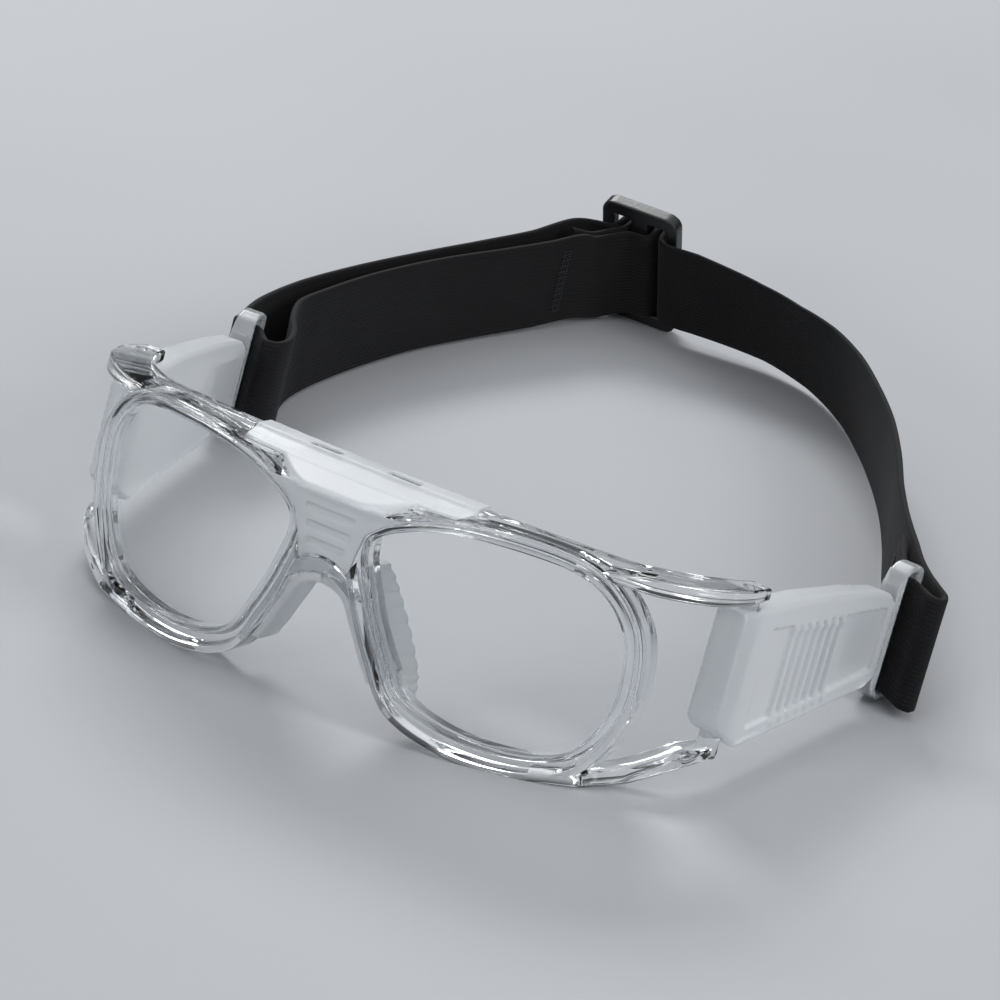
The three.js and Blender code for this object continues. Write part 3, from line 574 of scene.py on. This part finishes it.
def sleeve_rib(side, a):
    """An upright rib over the panel: drop-shaped at its foot, narrow in its run, wide at its head."""
    low, half = along(SLEEVE_LOW, a) + 1.9, sleeve_half(a)
    rows = [
        (low, 0.25, 0.15), (low + 0.5, 0.8, 0.5), (low + 1.3, 1.05, 0.6), (low + 2.3, 0.95, 0.4),
        (low + 3.6, 0.85, 0.05), (37.2, 0.95, 0), (38.2, 1.2, 0.35), (38.9, 1.15, 0.45), (39.5, 0.5, 0.1),
    ]
    rings = []
    for z, wide, proud in rows:
        rings.append([on_temple(side, a + s * wide, t, z) for s, t in (
            (-1, RIB_ROOT), (1, RIB_ROOT), (1, half - 0.35),
            (0.5, half + proud), (-0.5, half + proud), (-1, half - 0.35))])
    return loft("rib", rings)


def sleeve(side):
    """A soft side arm: ribbed outside, bored for the hinge post and hollowed for the bracket."""
    skin = boolean(sleeve_blank(side), [sleeve_panel(side)], "DIFFERENCE")
    ribs = [sleeve_rib(side, RIB_START + k * RIB_PITCH) for k in range(RIB_COUNT)]
    boolean(skin, ribs, "UNION")
    pocket = loft("pocket", [[on_temple(side, a, t, z) for t, z in
                              ((-1.1, 27.2), (1.1, 27.2), (1.1, 39.8), (-1.1, 39.8))]
                             for a in (53.7, SLEEVE_END + 2)])
    boolean(skin, [post(side, POST_RADIUS + 0.35, 5, 55), pocket], "DIFFERENCE")
    skin.name = f"soft_sleeve_{side_word(side)}"
    return moulded(skin, SLEEVE_VOXEL, 3)


# ---- head strap -------------------------------------------------------------------------------------
SLIDER_UP = np.array([0, -math.sin(SLIDER_TILT), math.cos(SLIDER_TILT)])
SLIDER_BACK = np.array([0, math.cos(SLIDER_TILT), math.sin(SLIDER_TILT)])


def by_slider(u, v):
    """A place on the strap from its spot beside the slider's middle: `u` to the left, `v` back."""
    p = SLIDER_CENTRE + SLIDER_BACK * v - SLIDER_UP * SLIDER_SLACK
    return (p[0] + u, p[1], p[2], -math.tan(SLIDER_TILT), 0)


# The strap's places, as (x, y, z, lean, tilt): the last two turn the webbing's width off upright.
LEFT_LOOP = [
    (70.9, 124, 13.4, 0.08, 0), (73.1, 118.8, 13.7, 0.1, 0), (75.2, 113.6, 14.1, 0.15, 0),
    (77.2, 108.8, 14.4, 0.2, 0), (77.8, 104.8, 14.8, 0.2, 0), (77.9, 102.1, 15, 0.2, 0),
    (79.6, 100.8, 15, 0.2, 0), (82.4, 100.9, 15, 0.2, 0), (86, 99.4, 14.5, 0.2, 0),
    (89.2, 97.5, 14.4, 0.2, 0), (91.2, 97.9, 14.3, 0.2, 0), (90.6, 100.6, 14.2, 0.2, 0),
    (87.4, 104.2, 14.2, 0.18, 0), (83.2, 109, 14.1, 0.15, 0), (79, 114.8, 14, 0.12, 0),
]
BACK_RUN = [
    (75, 121.4, 13.9, 0.1, 0), (67.2, 134.8, 13.6, 0.05, 0.02), (59.6, 149.8, 13.3, 0, 0.05),
    (51.2, 167.4, 13, 0, 0.08), (42.2, 183.8, 12.9, 0, 0.11), (32.6, 198.2, 12.9, 0, 0.15),
    (21.4, 212.8, 12.8, 0, 0.19), (9.8, 224.6, 12.7, 0, 0.28), (-2.6, 232.4, 12.9, -0.12, 0.3),
    (-15.4, 235.8, 13.8, -0.34, 0.12),
]
WEAVE = [by_slider(u, v) for u, v in (
    (17, -2.6), (11.5, -2.95), (8.2, -2.9), (6.5, -2.2), (5.8, -0.4), (5.6, 1.4), (4.6, 3.8), (2, 4.7),
    (-2, 4.7), (-4.6, 3.8), (-5.6, 1.4), (-5.8, -0.4), (-6.5, -2.2), (-8.2, -2.9), (-11.6, -3.6))]
RIGHT_OUTER = [
    (-66.2, 229.8, 14.2, -0.2, 0.08), (-71.2, 213.6, 13.1, 0, 0.18), (-76.9, 194.6, 12.9, 0, 0.17),
    (-82, 175.6, 12.9, 0, 0.13), (-86.2, 156, 13, 0, 0.08), (-88.6, 136, 13.3, 0.03, 0.03),
]
RIGHT_LOOP = [
    (-88, 119, 13.9, 0.1, 0), (-86.2, 108.6, 14.4, 0.2, 0), (-85, 104, 14.6, 0.2, 0),
    (-84.4, 101.4, 15, 0.2, 0), (-81.4, 100.8, 15, 0.2, 0), (-78.2, 100.6, 15, 0.2, 0),
    (-76, 98.8, 14.5, 0.2, 0), (-73.7, 97, 14.4, 0.2, 0), (-71.6, 98, 14.3, 0.2, 0),
    (-71, 102.2, 14.1, 0.18, 0), (-73.4, 108.6, 13.8, 0.15, 0), (-78, 116.4, 13.5, 0.1, 0),
]
RIGHT_INNER = [
    (-82.2, 127, 13.2, 0.05, 0), (-82.7, 138.5, 13, 0, -0.05), (-80.8, 158, 12.9, 0, -0.09),
    (-76.3, 179, 12.9, 0, -0.15), (-70.3, 196.6, 12.9, 0, -0.18), (-64.4, 212, 13.2, -0.05, -0.16),
    (-60.2, 222.4, 14, -0.2, -0.1),
]
SEWN_END = [by_slider(u, v) for u, v in (
    (-7.4, -8.6), (-4.2, -5.2), (-1.6, -3.2), (1.6, -2.85), (3.1, -2.1), (3.4, 0), (3.1, 2.1), (1.6, 2.85),
    (-1.6, 2.85), (-3.1, 2.1), (-3.4, 0), (-3.9, -1.9), (-5.8, -4), (-9.3, -7.8))]
SEWN_END.append((-62.1, 223.8, 14, -0.24, -0.08))
STRETCHES = {
    "left_loop": LEFT_LOOP, "back_run": BACK_RUN, "weave": WEAVE, "right_outer": RIGHT_OUTER,
    "right_loop": RIGHT_LOOP, "right_inner": RIGHT_INNER, "sewn_end": SEWN_END,
}
STRAP = [p for stretch in STRETCHES.values() for p in stretch]
STRAP_LINE = [p[:3] for p in STRAP]
STRAP_PLACES = np.linspace(0, 1, len(STRAP))
EDGE_ROUND = 0.55


def strap_share(stretch, k):
    """How far along the strap a stretch's k-th place lies, as a share of its places."""
    names = list(STRETCHES)
    before = sum(len(STRETCHES[name]) for name in names[:names.index(stretch)])
    return (before + k) / (len(STRAP) - 1)


def strap_frames(start, end, spacing):
    """Places along the strap: each one's point, normal, direction across, and run in millimetres."""
    dense = np.linspace(start, end, 500)
    run = run_along(spline(STRAP_LINE, dense))
    count = max(2, round(run[-1] / spacing))
    at = np.linspace(0, run[-1], count + 1)
    shares = np.interp(at, run, dense)
    found = []
    nudge = 1e-5
    for share, distance in zip(shares, at):
        p = spline(STRAP_LINE, share)[0]
        a, b = spline(STRAP_LINE, [max(0, share - nudge), min(1, share + nudge)])
        tangent = (b - a) * (1, 1, 0)
        tangent /= np.linalg.norm(tangent)
        normal = np.array([-tangent[1], tangent[0], 0])
        lean, tilt = (np.interp(share, STRAP_PLACES, [q[k] for q in STRAP]) for k in (3, 4))
        across = np.array([0, lean, 1]) + normal * tilt
        found.append((p, normal, across / np.linalg.norm(across), distance))
    return found


def strap_section():
    """The webbing's section as [sideways, across] places: a woven band with a fuller edge."""
    half, thick = STRAP_WIDE / 2, STRAP_THICK / 2
    flat = half - EDGE_ROUND
    up = [(thick * (0.93 + 0.07 * min(1, abs(c) / half) ** 6), c) for c in np.linspace(flat, -flat, 23)]
    edge = [(thick * math.cos(a), -flat - EDGE_ROUND * math.sin(a)) for a in np.linspace(0, math.pi, 7)[1:-1]]
    return up + edge + [(-s, -c) for s, c in up] + [(-s, -c) for s, c in edge]


def webbing(name, start, end, spacing=1.0):
    """One stretch of the strap, with its run and its width stored for the weave."""
    section = strap_section()
    frames = strap_frames(start, end, spacing)
    rings = [[p + normal * s + across * c for s, c in section] for p, normal, across, _ in frames]
    obj = loft(name, rings, upright=False)
    places = [(run, c, 0) for *_, run in frames for _, c in section]
    weave = obj.data.attributes.new("weave", "FLOAT_VECTOR", "POINT")
    weave.data.foreach_set("vector", np.array(places, np.float32).ravel())
    obj.data.shade_smooth()
    obj.data.set_sharp_from_angle(angle=math.radians(60))
    return obj


def thread(base, steps, around):
    """Faces of a short thread whose rings of points start at `base`."""
    faces = []
    for i in range(steps - 1):
        here, there = base + i * around, base + (i + 1) * around
        for j in range(around):
            k = (j + 1) % around
            faces.append((here + j, here + k, there + k, there + j))
    last = base + (steps - 1) * around
    return faces + [tuple(range(base, base + around))[::-1], tuple(range(last, last + around))]


def bar_tack(name, share):
    """Zigzag stitches across the strap's face towards the head, each one a short thread on it."""
    p, normal, across, _ = strap_frames(share - 1e-4, share + 1e-4, 1)[0]
    ahead = np.cross(across, normal)
    rows, row_pitch, count, pitch = 3, 0.85, 22, 0.82
    reach, slant, radius = 0.42, 0.28, 0.17
    steps, around = 7, 6
    verts, faces = [], []
    for row in range(rows):
        for k in range(count):
            centre = (k - (count - 1) / 2) * pitch
            shift = (row - (rows - 1) / 2) * row_pitch
            lean = slant if k % 2 else -slant
            faces += thread(len(verts), steps, around)
            for t in np.linspace(-1, 1, steps):
                lift = STRAP_THICK / 2 + 0.05 + 0.24 * (1 - t * t)
                spot = p + across * (centre + lean * t) + ahead * (shift + t * reach) - normal * lift
                for angle in np.linspace(0, 2 * math.pi, around + 1)[:-1]:
                    out = across * math.cos(angle) + normal * math.sin(angle)
                    verts.append(spot + out * radius * (1 - 0.5 * abs(t) ** 3))
    obj = new_object(name, verts, faces, upright=False)
    obj.data.shade_smooth()
    return obj


# ---- materials --------------------------------------------------------------------------------------
class Nodes:
    """A short way to build a material's node tree."""

    def __init__(self, name):
        self.material = bpy.data.materials.new(name)
        self.material.use_nodes = True
        self.tree = self.material.node_tree
        self.shader = self.tree.nodes["Principled BSDF"]

    def add(self, kind, settings=None, **inputs):
        node = self.tree.nodes.new(kind)
        for key, value in (settings or {}).items():
            setattr(node, key, value)
        for key, value in inputs.items():
            self.put(node, key.replace("_", " "), value)
        return node

    def put(self, node, key, value):
        socket = node.inputs[int(key)] if key.isdigit() else node.inputs[key]
        if isinstance(value, bpy.types.NodeSocket):
            self.tree.links.new(value, socket)
        else:
            socket.default_value = value

    def set(self, **inputs):
        for key, value in inputs.items():
            self.put(self.shader, key.replace("_", " "), value)
        return self

    def maths(self, operation, a, b=0.0):
        node = self.add("ShaderNodeMath", {"operation": operation})
        self.put(node, "0", a)
        self.put(node, "1", b)
        return node.outputs[0]

    def noise(self, scale, detail=4.0, roughness=0.5):
        node = self.add("ShaderNodeTexNoise", Scale=scale, Detail=detail, Roughness=roughness)
        self.put(node, "Vector", self.add("ShaderNodeTexCoord").outputs["Object"])
        return node.outputs["Fac"]

    def spread(self, value, low, high, out_low=0.0, out_high=1.0):
        node = self.add("ShaderNodeMapRange", Value=value, From_Min=low, From_Max=high,
                        To_Min=out_low, To_Max=out_high)
        return node.outputs["Result"]

    def blend(self, share, a, b):
        """A colour between two, each a tuple or a socket."""
        node = self.add("ShaderNodeMix", {"data_type": "RGBA"})
        self.put(node, "0", share)
        for k, value in ((6, a), (7, b)):
            self.put(node, str(k), (*value, 1) if isinstance(value, tuple) else value)
        return node.outputs[2]

    def bump(self, height, strength, distance):
        node = self.add("ShaderNodeBump", Strength=strength, Distance=distance, Height=height)
        self.put(self.shader, "Normal", node.outputs["Normal"])
        return self


def clear_plastic(name, rough, tint):
    """Clear polycarbonate, with a roughness that comes and goes up to `rough`."""
    n = Nodes(name)
    flow = n.noise(55, 3, 0.6)
    n.set(Base_Color=(*tint, 1), Transmission_Weight=1.0, IOR=1.57,
          Roughness=n.spread(flow, 0.35, 0.7, 0.0, rough))
    return n.material


def frosted_silicone(name, clear, rough):
    """A milky or hazy material: `clear` is its transmission weight, `rough` its least roughness."""
    n = Nodes(name)
    cloud = n.noise(60, 3, 0.55)
    grain = n.noise(2600, 2, 0.6)
    milk = n.blend(n.spread(cloud, 0.35, 0.65), (0.90, 0.935, 0.965), (0.95, 0.968, 0.985))
    n.set(Base_Color=milk,
          Roughness=n.spread(cloud, 0.3, 0.7, rough, rough + 0.1), Transmission_Weight=clear, IOR=1.41,
          Specular_IOR_Level=0.5)
    return n.bump(grain, 0.2, 0.0001).material


def black_webbing():
    """Elastic webbing: ribs along the strap and picks across it, from the stored weave places; painted shade
    in the grooves.
    """
    rib_pitch, pick_pitch = 0.95, 0.62
    n = Nodes("black_webbing")
    spot = n.add("ShaderNodeAttribute", {"attribute_name": "weave"}).outputs["Vector"]
    parts = n.add("ShaderNodeSeparateXYZ", Vector=spot)
    run, wide = parts.outputs["X"], parts.outputs["Y"]
    rib = n.maths("SINE", n.maths("MULTIPLY", wide, 2 * math.pi / rib_pitch))
    pick = n.maths("SINE", n.maths("MULTIPLY", run, 2 * math.pi / pick_pitch))
    knit = n.maths("MULTIPLY", rib, pick)
    relief = n.maths("ADD", n.maths("MULTIPLY", rib, 0.6), n.maths("MULTIPLY", knit, 0.5))
    fuzz = n.noise(1800, 3, 0.7)
    worn = n.noise(70, 3, 0.6)
    # The colour follows the weave's relief: painted shade darkens the grooves between the yarns and the
    # raised yarns are lighter, with random fuzz over it.
    tone = n.spread(n.maths("ADD", relief, n.maths("MULTIPLY", fuzz, 0.8)), -1.0, 1.6)
    groove_shade = n.blend(tone, (0.002, 0.002, 0.0025), (0.010, 0.010, 0.011))
    n.set(Base_Color=n.blend(n.spread(worn, 0.4, 0.75, 0, 0.35), groove_shade, (0.014, 0.014, 0.015)),
          Roughness=n.spread(tone, 0, 1, 0.72, 0.9), Sheen_Weight=0.05, Sheen_Roughness=0.5,
          Specular_IOR_Level=0.2)
    return n.bump(n.maths("ADD", relief, n.maths("MULTIPLY", fuzz, 0.7)), 0.5, 0.0002).material


def black_thread():
    n = Nodes("black_thread")
    twist = n.noise(4200, 2, 0.5)
    n.set(Base_Color=n.blend(twist, (0.012, 0.012, 0.014), (0.05, 0.05, 0.055)),
          Roughness=n.spread(twist, 0.3, 0.7, 0.45, 0.7))
    return n.bump(twist, 0.4, 0.0001).material


def black_plastic():
    n = Nodes("black_plastic")
    grain = n.noise(1500, 3, 0.6)
    smear = n.noise(45, 3, 0.6)
    n.set(Base_Color=n.blend(n.spread(smear, 0.4, 0.7), (0.009, 0.009, 0.010), (0.02, 0.02, 0.022)),
          Roughness=n.spread(smear, 0.3, 0.7, 0.28, 0.42), Specular_IOR_Level=0.5)
    return n.bump(grain, 0.3, 0.0001).material


def floor_paper():
    n = Nodes("floor_paper")
    fibre = n.noise(900, 3, 0.6)
    cloud = n.spread(n.noise(3, 2), 0.3, 0.7)
    n.set(Base_Color=n.blend(cloud, (0.40, 0.41, 0.43), (0.44, 0.45, 0.47)), Roughness=0.75)
    return n.bump(fibre, 0.15, 0.0002).material


CLEAR = clear_plastic("clear_frame", 0.035, (0.955, 0.972, 0.985))
LENS = clear_plastic("clear_lens", 0.03, (0.985, 0.992, 0.995))
THIN_SILICONE = frosted_silicone("thin_silicone", 0.6, 0.4)
THICK_SILICONE = frosted_silicone("thick_silicone", 0.62, 0.32)
HAZY = frosted_silicone("hazy_plastic", 0.72, 0.12)
WEBBING, THREAD, PLASTIC = black_webbing(), black_thread(), black_plastic()


# ---- pieces -----------------------------------------------------------------------------------------
def finish_piece(obj, material, nodes, body=None):
    """Gives a piece its material and slot, hides the nodes it replaces, and sets its body."""
    obj.data.materials.clear()
    obj.data.materials.append(material)
    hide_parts(*nodes)
    if body:
        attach(obj, body)


def in_row(x, y, z):
    """A point in metres from unshifted millimetres."""
    return tuple((np.array([x, y, z]) + SHIFT) / 1000)


finish_piece(front_frame(), CLEAR, ["front_frame"], "frame")
finish_piece(bridge_cover(), THIN_SILICONE, ["bridge_cover"], "frame")
for side in (1, -1):
    word = side_word(side)
    finish_piece(lens(side), LENS, [f"{word}_lens"], "frame")
    finish_piece(nose_pad(side), THIN_SILICONE, [f"{word}_nose_pad"], "frame")
    finish_piece(sleeve(side), THICK_SILICONE, [f"{word}_sleeve"], f"{word}_temple")
    bracket = moulded(cad_copy(f"{word}_strap_bracket", f"clear_bracket_{word}"), BRACKET_VOXEL, 4)
    finish_piece(bracket, HAZY, [f"{word}_strap_bracket"], f"{word}_temple")

# Each stretch of webbing runs between the two shares of the strap given.
LEFT_CUT = strap_share("back_run", 4)
WEAVE_CUT = strap_share("weave", 14)
OUTER_CUT = strap_share("right_outer", 2)
INNER_CUT = strap_share("right_inner", 3)

strap_left = webbing("webbing_left", 0, LEFT_CUT)
finish_piece(strap_left, WEBBING, ["strap_left_loop", "strap_left_side"])
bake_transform(strap_left)

strap_back = webbing("webbing_back", LEFT_CUT, WEAVE_CUT, 0.8)
finish_piece(strap_back, WEBBING, ["strap_rear_run", "strap_weave"])
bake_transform(strap_back)

strap_outer = webbing("webbing_rear_outer", WEAVE_CUT, OUTER_CUT)
finish_piece(strap_outer, WEBBING, ["strap_rear_outer"])
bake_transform(strap_outer)

strap_right = webbing("webbing_right", OUTER_CUT, INNER_CUT)
finish_piece(strap_right, WEBBING,
             ["strap_right_outer", "strap_right_loop", "strap_right_inner"])
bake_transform(strap_right)

strap_sewn = webbing("webbing_sewn_end", INNER_CUT, 1, 0.8)
finish_piece(strap_sewn, WEBBING, ["strap_sewn_end"])
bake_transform(strap_sewn)

left_tack = bar_tack("stitches_left_loop", strap_share("left_loop", 0.6))
finish_piece(left_tack, THREAD, ["left_bar_tack"], "left_temple")
slider_tack = bar_tack("stitches_sewn_end", strap_share("right_inner", 5.5))
finish_piece(slider_tack, THREAD, ["slider_bar_tack"], "slider")
tri_glide = moulded(cad_copy("slider", "tri_glide"), SLIDER_VOXEL, 4)
finish_piece(tri_glide, PLASTIC, ["slider"], "slider")

# ---- floor, light and camera ------------------------------------------------------------------------
ground_mesh = bpy.data.meshes.new("ground")
ground_mesh.from_pydata([(-3, -3, 0), (3, -3, 0), (3, 3, 0), (-3, 3, 0)], [], [(0, 1, 2, 3)])
ground = bpy.data.objects.new("ground", ground_mesh)
bpy.context.scene.collection.objects.link(ground)
ground.location.z = -0.00008
ground_mesh.materials.append(floor_paper())


def area_light(name, place, target, size, watts):
    light = bpy.data.lights.new(name, "AREA")
    light.shape, light.energy = "RECTANGLE", watts
    light.size, light.size_y = size
    lamp = bpy.data.objects.new(name, light)
    bpy.context.scene.collection.objects.link(lamp)
    lamp.location = place
    lamp.rotation_euler = (Vector(target) - Vector(place)).to_track_quat("-Z", "Y").to_euler()


area_light("softbox_back_left", (-0.75, 0.75, 0.95), (0, -0.02, 0.02), (0.7, 0.4), 11)
area_light("softbox_right", (1.1, -0.1, 0.7), (0, 0, 0.02), (0.4, 0.6), 6)
area_light("softbox_front", (-0.3, -1.3, 0.55), (0, -0.05, 0.02), (0.6, 0.2), 4)

world = bpy.data.worlds.new("studio")
bpy.context.scene.world = world
world.use_nodes = True
tree = world.node_tree
background = tree.nodes["Background"]
where = tree.nodes.new("ShaderNodeTexCoord")
split = tree.nodes.new("ShaderNodeSeparateXYZ")
ramp = tree.nodes.new("ShaderNodeValToRGB")
tree.links.new(where.outputs["Generated"], split.inputs[0])
tree.links.new(split.outputs["Z"], ramp.inputs[0])
tree.links.new(ramp.outputs[0], background.inputs["Color"])
ground_stop, sky_stop = ramp.color_ramp.elements
ground_stop.position, ground_stop.color = 0.0, (0.03, 0.03, 0.035, 1)
sky_stop.position, sky_stop.color = 0.85, (0.9, 0.92, 0.95, 1)
ramp.color_ramp.elements.new(0.35).color = (0.12, 0.125, 0.13, 1)
background.inputs["Strength"].default_value = 0.9

camera_target = Vector(in_row(14.5, 45, 37.9))
camera_distance = 0.91
azimuth, elevation, roll = (math.radians(a) for a in (25.23, 24, 10.64))
level = Vector((math.sin(azimuth), -math.cos(azimuth), 0))
back = level * math.cos(elevation) + Vector((0, 0, math.sin(elevation)))
right = Vector((math.cos(azimuth), math.sin(azimuth), 0))
up = back.cross(right)
right, up = right * math.cos(roll) + up * math.sin(roll), up * math.cos(roll) - right * math.sin(roll)
camera = bpy.data.objects.new("camera", bpy.data.cameras.new("camera"))
bpy.context.scene.collection.objects.link(camera)
turned = Matrix((right, up, back)).transposed().to_4x4()
camera.matrix_world = Matrix.Translation(camera_target + back * camera_distance) @ turned
camera.data.lens, camera.data.sensor_width = 163.5, 36
camera.data.clip_start, camera.data.clip_end = 0.01, 20
scene = bpy.context.scene
scene.camera = camera
scene.cycles.max_bounces = 20
scene.cycles.transmission_bounces = 16
scene.cycles.transparent_max_bounces = 16
scene.cycles.glossy_bounces = 6
scene.view_settings.view_transform = "Standard"
